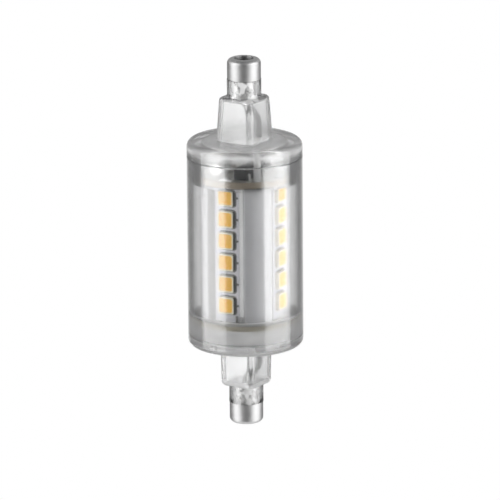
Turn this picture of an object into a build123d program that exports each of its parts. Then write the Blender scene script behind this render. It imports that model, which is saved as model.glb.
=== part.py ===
from build123d import *
import math
import os

# Lengths along the lamp's axis, which is Z, with the middle of the lamp at the origin
LAMP_LENGTH = 78.0
CONTACT_LENGTH = 4.4
NECK_LENGTH = 3.6
UPPER_COLLAR_HEIGHT = 9.3
LOWER_COLLAR_HEIGHT = 9.0
CAP_HEIGHT = 3.3
END_PLATE = 1.5
SEAT_HEIGHT = 6.4
DRIVER_CHAMBER = 6.5

# Clear body
BODY_DIAMETER = 24.0
BODY_WALL = 1.2
BODY_LOWER_RADIUS = 1.4
BODY_UPPER_CHAMFER = 0.9
SEAT_LEDGE = 0.45
RIM_HEIGHT = 0.5
SPIGOT_CLEARANCE = 0.1

# Hollow square collars, a few degrees off the LED boards, and the necks that carry the contacts
UPPER_COLLAR_FOOT = 9.0
UPPER_COLLAR_END = 8.1
LOWER_COLLAR_FOOT = 8.3
LOWER_COLLAR_END = 8.0
COLLAR_CORNER_CHAMFER = 0.7
COLLAR_END_CHAMFER = 0.6
COLLAR_WALL = 0.7
COLLAR_END_WALL = 0.9
COLLAR_TURN = -5.5
NECK_DIAMETER = 7.4
LEAD_WAY_DIAMETER = 4.0

# Contacts
CONTACT_DIAMETER = 7.0
CONTACT_WALL = 0.4
CONTACT_EDGE = 1.0
CONTACT_CLEARANCE = 0.05
RECESS_DIAMETER = 4.0
RECESS_DEPTH = 1.6
PEG_END_GAP = 0.2

# Heat sink, with air between it and the tube
SINK_AIR_GAP = 1.55
SINK_WALL = 1.25
SINK_CLEARANCE = 0.1
TROUGH_DEPTH = 2.3
TROUGH_FLANK_ANGLE = 47.0
BOARD_COUNT = 4

# LED boards
BOARD_WIDTH = 5.5
BOARD_THICKNESS = 0.8
BOARD_SIDE_GAP = 0.05
BOARD_END_GAP = 0.3
TONGUE_WIDTH = 2.4
TONGUE_PROUD = 0.3
KEY_NOTCH_WIDTH = 1.0
KEY_NOTCH_HEIGHT = 1.4

# LEDs
LED_WIDTH = 3.5
LED_HEIGHT = 3.5
LED_DEPTH = 0.8
LED_PITCH = 4.6
LED_TOP_INSET = 2.1
LED_RIM = 0.15
LED_FLOOR = 0.2
PHOSPHOR_GAP = 0.02
PHOSPHOR_SUNK = 0.05

# Round boards at the ends of the heat sink
DISC_THICKNESS = 1.3
DISC_CLEARANCE = 0.15
SLOT_CLEARANCE = 0.1

# Parts on the driver board
RECTIFIER_LENGTH = 3.8
RECTIFIER_WIDTH = 2.6
RECTIFIER_HEIGHT = 2.4
RECTIFIER_PLACE = (2.2, -4.2)
RECTIFIER_LEAD_COUNT = 2
RECTIFIER_LEAD_PITCH = 2.0
REGULATOR_LENGTH = 4.9
REGULATOR_WIDTH = 3.9
REGULATOR_HEIGHT = 1.5
REGULATOR_PLACE = (1.2, 3.6)
REGULATOR_LEAD_COUNT = 4
REGULATOR_LEAD_PITCH = 1.27
CHIP_LEAD_WIDTH = 0.45
CHIP_LEAD_THICKNESS = 0.2
CHIP_LEAD_REACH = 0.9
CHIP_STANDOFF = 0.1
CHIP_EDGE = 0.25
RESISTOR_LENGTH = 5.4
RESISTOR_DIAMETER = 2.2
RESISTOR_PLACE = (-4.2, -1.6)

# Smoothing capacitor in the heat sink's bore
CAPACITOR_DIAMETER = 8.0
CAPACITOR_LENGTH = 11.5
CAPACITOR_EDGE_CHAMFER = 0.5
CAPACITOR_PIN_DIAMETER = 0.6
CAPACITOR_PIN_PITCH = 3.5
CAPACITOR_PIN_PROUD = 0.7
PIN_HOLE_CLEARANCE = 0.1

# Insulated leads between the round boards and the contacts
LEAD_DIAMETER = 1.3
LEAD_BEND = 1.0
UPPER_LEAD_PLACE = (5.5, -5.4)
UPPER_LEAD_SIDE = (2.6, 0.6)
UPPER_LEAD_START = 1.9
UPPER_LEAD_JOG = 2.3
UPPER_LEAD_BEND_RISE = 0.1
UPPER_LEAD_STAND = 2.9
LOWER_LEAD_PLACE = (2.1, 1.1)
LOWER_LEAD_RISE = 1.8
LOWER_LEAD_JOG = 2.2

# Levels worked out from the lengths above
lamp_end = LAMP_LENGTH / 2
contact_seat = lamp_end - CONTACT_LENGTH
collar_end = contact_seat - NECK_LENGTH
body_top = collar_end - UPPER_COLLAR_HEIGHT
body_bottom = LOWER_COLLAR_HEIGHT - collar_end
seam = body_top - CAP_HEIGHT
chamber_top = body_top - END_PLATE
chamber_floor = body_bottom + END_PLATE
sink_bottom = body_bottom + SEAT_HEIGHT
sink_top = chamber_top - DRIVER_CHAMBER
recess_floor = lamp_end - RECESS_DEPTH
solder_level = recess_floor - CONTACT_WALL
peg_end = solder_level - PEG_END_GAP
driver_top = sink_top + DISC_THICKNESS
link_bottom = sink_bottom - DISC_THICKNESS

# Radii worked out from the diameters above
body_radius = BODY_DIAMETER / 2
bore_radius = body_radius - BODY_WALL
sink_radius = bore_radius - SINK_AIR_GAP
rim_radius = sink_radius + SINK_CLEARANCE
seat_radius = sink_radius - SEAT_LEDGE
contact_radius = CONTACT_DIAMETER / 2
peg_radius = contact_radius - CONTACT_WALL - CONTACT_CLEARANCE
trough_floor = sink_radius - TROUGH_DEPTH
sink_bore = trough_floor - SINK_WALL
board_face = trough_floor + BOARD_THICKNESS
disc_radius = seat_radius - DISC_CLEARANCE


def turned(profile):
    """A solid of revolution about Z from (radius, level) points."""
    outline = Polyline(*[(radius, 0, level) for radius, level in profile], close=True)
    return revolve(make_face(outline), axis=Axis.Z)


def bar(radius, low, high, place=(0, 0)):
    """A round bar along Z between two levels."""
    rod = Cylinder(radius, high - low, align=(Align.CENTER, Align.CENTER, Align.MIN))
    return Pos(place[0], place[1], low) * rod


def square_boss(side, height, draft):
    """Drafted square boss with cut corners, standing on XY."""
    foot = Rectangle(side, side)
    foot = chamfer(foot.vertices(), COLLAR_CORNER_CHAMFER)
    return extrude(Rot(0, 0, COLLAR_TURN) * foot, amount=height, taper=draft)


def collar_draft(collar_height, foot_side, end_side):
    """Draft angle of a collar, from its sides at the foot and at the end."""
    return math.degrees(math.atan((foot_side - end_side) / 2 / collar_height))


def end_fitting(collar_height, foot_side, end_side):
    """Square collar, round neck and contact peg of one end, standing on the level of the body's end."""
    collar = square_boss(foot_side, collar_height, collar_draft(collar_height, foot_side, end_side))
    collar = chamfer(collar.edges().group_by(Axis.Z)[-1], COLLAR_END_CHAMFER)
    neck_top = collar_height + NECK_LENGTH
    neck = bar(NECK_DIAMETER / 2, 0, neck_top)
    peg = bar(peg_radius, 0, neck_top + peg_end - contact_seat)
    return collar + neck + peg


def fitting_hollow(collar_height, foot_side, end_side):
    """Room inside one end for its lead: the hollow of the collar and the round way to the contact."""
    depth = END_PLATE + collar_height - COLLAR_END_WALL
    draft = collar_draft(collar_height, foot_side, end_side)
    hollow = square_boss(foot_side - 2 * COLLAR_WALL, depth, draft)
    peg_top = collar_height + NECK_LENGTH + peg_end - contact_seat
    return Pos(0, 0, -END_PLATE) * hollow + bar(LEAD_WAY_DIAMETER / 2, 0, peg_top)


def tube_housing():
    """Clear cup: tube wall, seat for the heat sink, end plate and the lower collar."""
    cup = turned([
        (0, body_bottom),
        (body_radius, body_bottom),
        (body_radius, seam),
        (bore_radius, seam),
        (bore_radius, sink_bottom + RIM_HEIGHT),
        (rim_radius, sink_bottom + RIM_HEIGHT),
        (rim_radius, sink_bottom),
        (seat_radius, sink_bottom),
        (seat_radius, chamber_floor),
        (0, chamber_floor),
    ])
    cup = fillet(cup.edges().group_by(Axis.Z)[0], BODY_LOWER_RADIUS)
    place = Pos(0, 0, body_bottom)
    collar_sizes = (LOWER_COLLAR_HEIGHT, LOWER_COLLAR_FOOT, LOWER_COLLAR_END)
    fitting = mirror(end_fitting(*collar_sizes), about=Plane.XY)
    hollow = mirror(fitting_hollow(*collar_sizes), about=Plane.XY)
    return cup + place * fitting - place * hollow


def end_cap():
    """Clear lid: rim flush with the tube, spigot that holds the heat sink down, and the upper collar."""
    spigot_radius = bore_radius - SPIGOT_CLEARANCE
    lid = turned([
        (0, body_top),
        (body_radius, body_top),
        (body_radius, seam),
        (spigot_radius, seam),
        (spigot_radius, sink_top - RIM_HEIGHT),
        (rim_radius, sink_top - RIM_HEIGHT),
        (rim_radius, sink_top),
        (seat_radius, sink_top),
        (seat_radius, chamber_top),
        (0, chamber_top),
    ])
    lid = chamfer(lid.edges().group_by(Axis.Z)[-1], BODY_UPPER_CHAMFER)
    place = Pos(0, 0, body_top)
    collar_sizes = (UPPER_COLLAR_HEIGHT, UPPER_COLLAR_FOOT, UPPER_COLLAR_END)
    return lid + place * end_fitting(*collar_sizes) - place * fitting_hollow(*collar_sizes)


def upper_contact():
    """Drawn metal cup over the peg, with a recess in its end and its edge broken in two steps."""
    inner = contact_radius - CONTACT_WALL
    recess = RECESS_DIAMETER / 2
    cut = 1 - math.sqrt(0.5)
    return turned([
        (contact_radius, contact_seat),
        (contact_radius, lamp_end - CONTACT_EDGE),
        (contact_radius - CONTACT_EDGE * cut, lamp_end - CONTACT_EDGE * cut),
        (contact_radius - CONTACT_EDGE, lamp_end),
        (recess, lamp_end),
        (recess, recess_floor),
        (0, recess_floor),
        (0, solder_level),
        (recess + CONTACT_WALL, solder_level),
        (recess + CONTACT_WALL, lamp_end - CONTACT_WALL),
        (contact_radius - CONTACT_EDGE, lamp_end - CONTACT_WALL),
        (inner, lamp_end - CONTACT_EDGE),
        (inner, contact_seat),
    ])


def heat_sink():
    """Round extrusion with a bore and a V-sided trough for each LED board."""
    floor_half = BOARD_WIDTH / 2 + BOARD_SIDE_GAP
    reach = sink_radius - trough_floor
    mouth_half = floor_half + reach * math.tan(math.radians(TROUGH_FLANK_ANGLE))
    trough = make_face(Polyline(
        (-floor_half, -trough_floor),
        (floor_half, -trough_floor),
        (mouth_half, -sink_radius),
        (-mouth_half, -sink_radius),
        close=True,
    ))
    section = Circle(sink_radius) - Circle(sink_bore)
    for index in range(BOARD_COUNT):
        section -= Rot(0, 0, 360 / BOARD_COUNT * index) * trough
    return Pos(0, 0, sink_bottom) * extrude(section, amount=sink_top - sink_bottom)


def box_between(low, high):
    """A box from its lowest to its highest corner."""
    size = [high[axis] - low[axis] for axis in range(3)]
    return Pos(*low) * Box(*size, align=(Align.MIN, Align.MIN, Align.MIN))


board_bottom = sink_bottom + BOARD_END_GAP
board_top = sink_top - BOARD_END_GAP


def led_board():
    """Strip board that faces -Y, with a solder tongue at each end and a keyed lower corner."""
    half = BOARD_WIDTH / 2
    tongue_half = TONGUE_WIDTH / 2
    strip = box_between((-half, -board_face, board_bottom), (half, -trough_floor, board_top))
    tongue_low = link_bottom - TONGUE_PROUD
    tongue_high = driver_top + TONGUE_PROUD
    strip += box_between((-tongue_half, -board_face, tongue_low), (tongue_half, -trough_floor, tongue_high))
    notch_low = (half - KEY_NOTCH_WIDTH, -board_face, board_bottom)
    notch_high = (half, -trough_floor, board_bottom + KEY_NOTCH_HEIGHT)
    return strip - box_between(notch_low, notch_high)


def led_levels():
    """Levels of the LED centres on a board, from the top down."""
    first = board_top - LED_TOP_INSET
    count = int((first - LED_HEIGHT / 2 - board_bottom - KEY_NOTCH_HEIGHT) / LED_PITCH) + 1
    return [first - LED_PITCH * index for index in range(count)]


def led_window(gap):
    """Outline of the filled window of an LED, made smaller all round by a gap."""
    width = LED_WIDTH - 2 * LED_RIM - 2 * gap
    height = LED_HEIGHT - 2 * LED_RIM - 2 * gap
    return Rectangle(width, height)


def on_board_face(shape, level):
    """Place a shape drawn on XY, with its front towards +Z, on the face of the -Y board."""
    return Pos(0, -board_face, level) * Rot(90, 0, 0) * shape


def led_frame(level):
    """White LED package with an open window."""
    package = extrude(Rectangle(LED_WIDTH, LED_HEIGHT), amount=LED_DEPTH)
    package -= Pos(0, 0, LED_FLOOR) * extrude(led_window(0), amount=LED_DEPTH)
    return on_board_face(package, level)


def led_phosphor(level):
    """Phosphor filling of one LED window, a little below the rim."""
    fill = extrude(led_window(PHOSPHOR_GAP), amount=LED_DEPTH - LED_FLOOR - PHOSPHOR_SUNK)
    return on_board_face(Pos(0, 0, LED_FLOOR) * fill, level)


def disc_with_slots():
    """Round board with a slot for each LED board's tongue, its lower face on XY."""
    slot_width = TONGUE_WIDTH + 2 * SLOT_CLEARANCE
    slot_depth = BOARD_THICKNESS + 2 * SLOT_CLEARANCE
    slot = Pos(0, -trough_floor - BOARD_THICKNESS / 2) * Rectangle(slot_width, slot_depth)
    outline = Circle(disc_radius)
    for index in range(BOARD_COUNT):
        outline -= Rot(0, 0, 360 / BOARD_COUNT * index) * slot
    return extrude(outline, amount=DISC_THICKNESS)


capacitor_pins = [(-CAPACITOR_PIN_PITCH / 2, 0), (CAPACITOR_PIN_PITCH / 2, 0)]


def driver_board():
    """Upper round board, with holes for the capacitor's pins."""
    board = Pos(0, 0, sink_top) * disc_with_slots()
    for place in capacitor_pins:
        board -= bar(CAPACITOR_PIN_DIAMETER / 2 + PIN_HOLE_CLEARANCE, sink_top, driver_top, place)
    return board


def link_board():
    """Lower round board, which joins the LED boards to each other."""
    return Pos(0, 0, link_bottom) * disc_with_slots()


def chip(length, width, height, leads, pitch):
    """Moulded chip on bent leads, length along X and leads on both Y sides, standing on XY."""
    body = Box(length, width, height, align=(Align.CENTER, Align.CENTER, Align.MIN))
    body = Pos(0, 0, CHIP_STANDOFF) * body
    body = chamfer(body.edges().group_by(Axis.Z)[-1], CHIP_EDGE)
    shoulder = CHIP_STANDOFF + height / 2
    foot = CHIP_LEAD_THICKNESS
    inside = width / 2 - CHIP_LEAD_THICKNESS
    bend = width / 2 + CHIP_LEAD_REACH / 2
    lead_side = make_face(Polyline(
        (0, inside, shoulder),
        (0, bend, shoulder),
        (0, bend, foot),
        (0, width / 2 + CHIP_LEAD_REACH, foot),
        (0, width / 2 + CHIP_LEAD_REACH, 0),
        (0, bend - foot, 0),
        (0, bend - foot, shoulder - foot),
        (0, inside, shoulder - foot),
        close=True,
    ))
    lead = extrude(lead_side, amount=CHIP_LEAD_WIDTH / 2, both=True)
    for index in range(leads):
        along = (index - (leads - 1) / 2) * pitch
        body += Pos(along, 0, 0) * lead
        body += Pos(along, 0, 0) * Rot(0, 0, 180) * lead
    return body


def on_driver_board(shape, place):
    """Stand a shape made on XY on the driver board."""
    return Pos(place[0], place[1], driver_top) * shape


def bridge_rectifier():
    sizes = (RECTIFIER_LENGTH, RECTIFIER_WIDTH, RECTIFIER_HEIGHT)
    shape = chip(*sizes, RECTIFIER_LEAD_COUNT, RECTIFIER_LEAD_PITCH)
    return on_driver_board(Rot(0, 0, 90) * shape, RECTIFIER_PLACE)


def regulator_chip():
    sizes = (REGULATOR_LENGTH, REGULATOR_WIDTH, REGULATOR_HEIGHT)
    shape = chip(*sizes, REGULATOR_LEAD_COUNT, REGULATOR_LEAD_PITCH)
    return on_driver_board(Rot(0, 0, 90) * shape, REGULATOR_PLACE)


def fuse_resistor():
    """Round resistor without leads that lies along Y."""
    radius = RESISTOR_DIAMETER / 2
    shape = bar(radius, -RESISTOR_LENGTH / 2, RESISTOR_LENGTH / 2)
    return on_driver_board(Pos(0, 0, radius) * Rot(90, 0, 0) * shape, RESISTOR_PLACE)


def smoothing_capacitor():
    """Can that hangs under the driver board in the heat sink's bore, on two pins."""
    can = bar(CAPACITOR_DIAMETER / 2, sink_top - CAPACITOR_LENGTH, sink_top)
    can = chamfer(can.edges().filter_by(GeomType.CIRCLE), CAPACITOR_EDGE_CHAMFER)
    for place in capacitor_pins:
        can += bar(CAPACITOR_PIN_DIAMETER / 2, sink_top, driver_top + CAPACITOR_PIN_PROUD, place)
    return can


def insulated_lead(points):
    """Round lead along straight runs, with each inner corner eased by two small bends."""
    route = [Vector(*points[0])]
    for before, corner, after in zip(points, points[1:], points[2:]):
        turn = Vector(*corner)
        route.append(turn + (Vector(*before) - turn).normalized() * LEAD_BEND)
        route.append(turn + (Vector(*after) - turn).normalized() * LEAD_BEND)
    route.append(Vector(*points[-1]))
    path = Polyline(*route)
    section = Plane(origin=path @ 0, z_dir=path % 0) * Circle(LEAD_DIAMETER / 2)
    return sweep(section, path=path, transition=Transition.RIGHT)


def upper_lead():
    """Lead from the upper contact down one side of the collar and out to the front of the driver board."""
    start = collar_end - UPPER_LEAD_START
    across, along = UPPER_LEAD_PLACE
    return insulated_lead([
        (0, 0, solder_level),
        (0, 0, start),
        (*UPPER_LEAD_SIDE, start - UPPER_LEAD_JOG),
        (*UPPER_LEAD_SIDE, chamber_top + UPPER_LEAD_BEND_RISE),
        (across, along, driver_top + UPPER_LEAD_STAND),
        (across, along, driver_top),
    ])


def lower_lead():
    """Lead from the lower contact up to the side of the collar's hollow and on to the link board."""
    bend = LOWER_LEAD_RISE - collar_end
    across, along = LOWER_LEAD_PLACE
    return insulated_lead([
        (0, 0, -solder_level),
        (0, 0, bend),
        (across, along, bend + LOWER_LEAD_JOG),
        (across, along, link_bottom),
    ])


nodes = {
    "tube_housing": tube_housing(),
    "end_cap": end_cap(),
    "upper_contact": upper_contact(),
    "lower_contact": mirror(upper_contact(), about=Plane.XY),
    "heat_sink": heat_sink(),
    "driver_board": driver_board(),
    "link_board": link_board(),
    "bridge_rectifier": bridge_rectifier(),
    "regulator_chip": regulator_chip(),
    "fuse_resistor": fuse_resistor(),
    "smoothing_capacitor": smoothing_capacitor(),
    "upper_lead": upper_lead(),
    "lower_lead": lower_lead(),
}
for index in range(BOARD_COUNT):
    turn = Rot(0, 0, 360 / BOARD_COUNT * index)
    number = index + 1
    nodes[f"led_board_{number}"] = turn * led_board()
    frames = [turn * led_frame(level) for level in led_levels()]
    phosphors = [turn * led_phosphor(level) for level in led_levels()]
    nodes[f"led_frames_{number}"] = Compound(children=frames)
    nodes[f"led_phosphors_{number}"] = Compound(children=phosphors)

os.makedirs("parts", exist_ok=True)
for name, shape in nodes.items():
    export_step(shape, f"parts/{name}.step")
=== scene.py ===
import math

import bmesh
import bpy
from mathutils import Matrix, Vector, noise


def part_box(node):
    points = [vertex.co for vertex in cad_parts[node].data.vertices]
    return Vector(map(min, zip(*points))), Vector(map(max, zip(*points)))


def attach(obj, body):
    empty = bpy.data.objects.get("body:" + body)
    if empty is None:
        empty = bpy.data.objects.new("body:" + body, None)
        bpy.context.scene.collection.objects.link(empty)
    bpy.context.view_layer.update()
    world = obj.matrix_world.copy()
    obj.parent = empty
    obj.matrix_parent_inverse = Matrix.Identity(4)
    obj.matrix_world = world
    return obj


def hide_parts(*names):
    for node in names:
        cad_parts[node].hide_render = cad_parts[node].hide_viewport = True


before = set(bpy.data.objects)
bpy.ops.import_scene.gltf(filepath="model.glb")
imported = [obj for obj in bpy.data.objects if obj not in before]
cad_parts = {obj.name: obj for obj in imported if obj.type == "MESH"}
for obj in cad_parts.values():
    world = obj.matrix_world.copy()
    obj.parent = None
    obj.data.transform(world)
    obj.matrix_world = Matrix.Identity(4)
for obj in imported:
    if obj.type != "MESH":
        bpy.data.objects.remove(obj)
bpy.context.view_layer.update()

# Heat sink: a round aluminium extrusion with a V-sided trough for each LED board and an open bore.
# It is sawn to length and left as it comes from the die, with fine lines along it, and it stands on the
# seat in the tube until the cap holds it down.
MM = 0.001
BOARD_COUNT = 4
sink_low, sink_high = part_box("heat_sink")
board_low, board_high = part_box("led_board_1")
sink_radius = 9.25 * MM
sink_bore = 5.7 * MM
board_play = 0.05 * MM
trough_floor = -board_high.y
trough_half = board_high.x + board_play
flank_slope = math.tan(math.radians(47))
saw_break = 0.1 * MM
land_steps = 12


def smooth_piece(name, mesh, sharp):
    """A mesh as a smooth piece of the scene, with edges left sharp past an angle in degrees."""
    mesh.polygons.foreach_set("use_smooth", [True] * len(mesh.polygons))
    mesh.set_sharp_from_angle(angle=math.radians(sharp))
    piece = bpy.data.objects.new(name, mesh)
    bpy.context.scene.collection.objects.link(piece)
    return piece


def skin(name, rings, closed=False, sharp=32):
    """Smooth piece through rings of points, joined back to its first ring or shut by its end rings."""
    cage = bmesh.new()
    loops = [[cage.verts.new(point) for point in ring] for ring in rings]
    pairs = list(zip(loops, loops[1:]))
    if closed:
        pairs.append((loops[-1], loops[0]))
    else:
        cage.faces.new(loops[0])
        cage.faces.new(loops[-1])
    for near, far in pairs:
        for here in range(len(near)):
            there = (here + 1) % len(near)
            cage.faces.new((near[here], near[there], far[there], far[here]))
    bmesh.ops.recalc_face_normals(cage, faces=cage.faces)
    mesh = bpy.data.meshes.new(name)
    cage.to_mesh(mesh)
    cage.free()
    return smooth_piece(name, mesh, sharp)


def sink_outline():
    """Points round the extrusion's section: a trough for each board and a land between them."""
    slope_square = 1 + flank_slope ** 2
    run = trough_half * flank_slope + trough_floor
    spare = trough_half ** 2 + trough_floor ** 2 - sink_radius ** 2
    rise = (math.sqrt(run ** 2 - slope_square * spare) - run) / slope_square
    lip = Vector((trough_half + rise * flank_slope, -trough_floor - rise, 0))
    foot = Vector((trough_half, -trough_floor, 0))
    first = math.atan2(lip.y, lip.x) + saw_break / sink_radius
    land_middle = -math.pi / BOARD_COUNT
    half = [foot, lip + (foot - lip).normalized() * saw_break]
    for step in range(land_steps):
        angle = first + (land_middle - first) * step / land_steps
        half.append(Vector((sink_radius * math.cos(angle), sink_radius * math.sin(angle), 0)))
    mirrored = [Vector((-point.x, point.y, 0)) for point in reversed(half)]
    quarter = mirrored + half
    return [Matrix.Rotation(math.tau * turn / BOARD_COUNT, 3, "Z") @ point
            for turn in range(BOARD_COUNT) for point in quarter]


def sink_ring(level, inset=0.0, bore=None):
    """One ring of the extrusion at a level, on its section or on its bore."""
    lift = Vector((0, 0, level))
    if bore is None:
        return [point * (1 - inset / point.length) + lift for point in sink_outline()]
    return [point.normalized() * bore + lift for point in sink_outline()]


heat_sink = skin("heat_sink_extrusion", [
    sink_ring(sink_low.z, saw_break),
    sink_ring(sink_low.z + saw_break),
    sink_ring(sink_high.z - saw_break),
    sink_ring(sink_high.z, saw_break),
    sink_ring(sink_high.z, bore=sink_bore + saw_break),
    sink_ring(sink_high.z - saw_break, bore=sink_bore),
    sink_ring(sink_low.z + saw_break, bore=sink_bore),
    sink_ring(sink_low.z, bore=sink_bore + saw_break),
], closed=True)


class Wire:
    """A shader socket that takes part in sums; a sum adds its Math node to the same tree."""

    def __init__(self, tree, socket=None):
        self.tree = tree
        self.socket = socket

    def make(self, kind, inputs=None, output=0, **settings):
        """A node of a kind with its settings, then its sockets' values or links; gives one output."""
        node = self.tree.nodes.new(kind)
        for name, value in settings.items():
            setattr(node, name, value)
        for name, value in (inputs or {}).items():
            if isinstance(value, Wire):
                self.tree.links.new(value.socket, node.inputs[name])
            else:
                node.inputs[name].default_value = value
        return Wire(self.tree, node.outputs[output] if node.outputs else None)

    def sum(self, operation, *values):
        """A Math node on numbers and wires."""
        return self.make("ShaderNodeMath", dict(enumerate(values)), operation=operation)

    def __add__(self, other):
        return self.sum("ADD", self, other)

    def __radd__(self, other):
        return self.sum("ADD", other, self)

    def __sub__(self, other):
        return self.sum("SUBTRACT", self, other)

    def __rsub__(self, other):
        return self.sum("SUBTRACT", other, self)

    def __mul__(self, other):
        return self.sum("MULTIPLY", self, other)

    def __rmul__(self, other):
        return self.sum("MULTIPLY", other, self)

    def __abs__(self):
        return self.sum("ABSOLUTE", self)

    def above(self, edge, fade=0.0):
        """1 above an edge and 0 below it, with a fade of some width across the edge."""
        if fade == 0:
            return self.sum("GREATER_THAN", self, edge)
        limits = {"Value": self, "From Min": edge - fade / 2, "From Max": edge + fade / 2}
        return self.make("ShaderNodeMapRange", limits)

    def between(self, low, high, fade=0.0):
        """1 between two edges and 0 outside them."""
        return self.above(low, fade) * (1 - self.above(high, fade))

    def near(self, middle, half, fade):
        """1 within half a width of a middle and 0 past it."""
        return 1 - abs(self - middle).above(half, fade)

    def blend(self, first, second):
        """The first colour at 0 and the second at 1; a Mix node's colours are its sockets 6 and 7."""
        return self.make("ShaderNodeMix", {0: self, 6: first, 7: second}, output=2, data_type="RGBA")


def new_finish(name):
    """An empty material and the wire that adds its nodes."""
    finish = bpy.data.materials.new(name)
    finish.use_nodes = True
    finish.node_tree.nodes.clear()
    return finish, Wire(finish.node_tree)


def surface(wire, sockets):
    """Close a material with one Principled shader."""
    shader = wire.make("ShaderNodeBsdfPrincipled", sockets)
    wire.make("ShaderNodeOutputMaterial", {"Surface": shader})


def grain(wire, stretch, detail=3.0):
    """Noise in Object coordinates, with a count of grains a metre along each axis."""
    place = wire.make("ShaderNodeTexCoord", output="Object")
    stretched = wire.make("ShaderNodeVectorMath", {0: place, 1: stretch}, operation="MULTIPLY")
    return wire.make("ShaderNodeTexNoise", {"Vector": stretched, "Scale": 1.0, "Detail": detail})


def relief(wire, height, strength, depth):
    """A bump from a height map."""
    return wire.make("ShaderNodeBump", {"Height": height, "Strength": strength, "Distance": depth})


die_finish, die = new_finish("die_drawn_aluminium")
die_lines = grain(die, (5200, 5200, 90))
die_bloom = grain(die, (160, 160, 60))
die_tone = die_bloom * 0.6 + die_lines * 0.4
surface(die, {
    "Base Color": die_tone.blend((0.53, 0.53, 0.54, 1), (0.66, 0.66, 0.67, 1)),
    "Metallic": 0.6,
    "Roughness": 0.5 + die_lines * 0.12,
    "Anisotropic": 0.2,
    "Normal": relief(die, die_lines, strength=0.12, depth=0.04 * MM),
})
heat_sink.data.materials.append(die_finish)
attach(heat_sink, "root")
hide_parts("heat_sink")

# LED boards: four white-masked strip boards, one in each trough, with a tinned tongue at both ends that
# goes through the round boards and a keyed lower corner. The CAD solids have the right shape, so they
# stay and get their finish here: white mask over wide copper, a fibreglass edge and bright tinned ends.
board_face = -board_low.y
board_numbers = range(1, BOARD_COUNT + 1)
tin_overlap = 0.25 * MM
tongue_top = sink_high.z - tin_overlap
tongue_bottom = sink_low.z + tin_overlap
bus_middle = 2.1 * MM
bus_half = 0.28 * MM
bus_fade = 0.08 * MM
bus_show = 0.5
mask_skin = 0.08 * MM


def along(wire, axis):
    """One of the Object coordinates: X, Y or Z."""
    place = wire.make("ShaderNodeTexCoord", output="Object")
    return wire.make("ShaderNodeSeparateXYZ", {"Vector": place}, output=axis)


mask_finish, mask = new_finish("white_board_mask")
mask_x, mask_y, mask_z = (along(mask, axis) for axis in "XYZ")
across = mask.sum("MINIMUM", abs(mask_x), abs(mask_y))
outward = mask.sum("MAXIMUM", abs(mask_x), abs(mask_y))
bus_track = across.near(bus_middle, bus_half, bus_fade)
core_edge = outward.between(trough_floor + mask_skin, board_face - mask_skin)
tinned = mask.sum("MAXIMUM", mask_z.above(tongue_top), 1 - mask_z.above(tongue_bottom))
mask_mottle = grain(mask, (900, 900, 900))
mask_white = mask_mottle.blend((0.64, 0.64, 0.68, 1), (0.72, 0.72, 0.75, 1))
mask_colour = (bus_track * bus_show).blend(mask_white, (0.78, 0.78, 0.81, 1))
edge_colour = core_edge.blend(mask_colour, (0.74, 0.735, 0.71, 1))
surface(mask, {
    "Base Color": tinned.blend(edge_colour, (0.78, 0.77, 0.75, 1)),
    "Metallic": tinned,
    "Roughness": 0.36 + mask_mottle * 0.16 - tinned * 0.12,
    "Normal": relief(mask, bus_track + mask_mottle * 0.15, strength=0.5, depth=0.03 * MM),
})


def dress(node_name, finish):
    """Give a CAD node that stays in the scene its finish."""
    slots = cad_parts[node_name].data.materials
    slots.clear()
    slots.append(finish)


for number in board_numbers:
    dress(f"led_board_{number}", mask_finish)

# LEDs: six on each board, reflow soldered. Each is a low cream package filled with yellow phosphor. A
# tinned terminal down its right side is coloured dark, partly as painted shade on that side, and the
# tinned pad under it is coloured dark as a painted shadow round the package.
led_low, led_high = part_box("led_frames_1")
led_width = led_high.x - led_low.x
led_depth = led_high.y - led_low.y
LED_ROWS = 6
led_height = 3.5 * MM
led_pitch = (led_high.z - led_low.z - led_height) / (LED_ROWS - 1)
led_first = led_high.z - led_height / 2
led_corner = 0.3 * MM
led_edge = 0.06 * MM
led_rim = 0.28 * MM
window_corner = 0.5 * MM
window_lean = 0.1 * MM
window_depth = 0.3 * MM
fill_profile = (
    (0.12 * MM, 0.28 * MM), (0.02 * MM, 0.06 * MM), (0.2 * MM, 0.03 * MM), (0.7 * MM, 0.005 * MM),
)
shaded_terminal_drop = 0.09 * MM
shaded_terminal_fade = 0.06 * MM
shaded_terminal_wrap = 0.2 * MM
pad_margin_side = 0.2 * MM
pad_margin_end = 0.3 * MM
pad_corner = 0.7 * MM
pad_shift = 0.2 * MM
pad_thickness = 0.06 * MM
pad_slope = 0.12 * MM
track_reach = 0.45 * MM
track_half = 0.22 * MM


def rounded_ring(width, height, corner, depth, steps=6):
    """Rounded rectangle in front of the -Y board, at a height above the board's face."""
    ring = []
    for quarter, (side, rise) in enumerate(((1, 1), (-1, 1), (-1, -1), (1, -1))):
        for step in range(steps + 1):
            angle = math.pi / 2 * (quarter + step / steps)
            ring.append(Vector((
                side * (width / 2 - corner) + corner * math.cos(angle),
                -board_face - depth,
                rise * (height / 2 - corner) + corner * math.sin(angle),
            )))
    return ring


def led_ring(inset, depth):
    """Outline of the LED drawn in by an inset, at a height above the board."""
    corner = led_corner - inset if inset < led_rim else window_corner
    return rounded_ring(led_width - 2 * inset, led_height - 2 * inset, corner, depth)


package_model = skin("led_package_model", [
    led_ring(0, 0),
    led_ring(0, led_depth - led_edge),
    led_ring(led_edge, led_depth),
    led_ring(led_rim, led_depth),
    led_ring(led_rim + window_lean, led_depth - window_depth),
])
phosphor_model = skin("led_phosphor_model", [
    led_ring(led_rim + inset, led_depth - drop) for inset, drop in fill_profile
], sharp=50)


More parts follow.
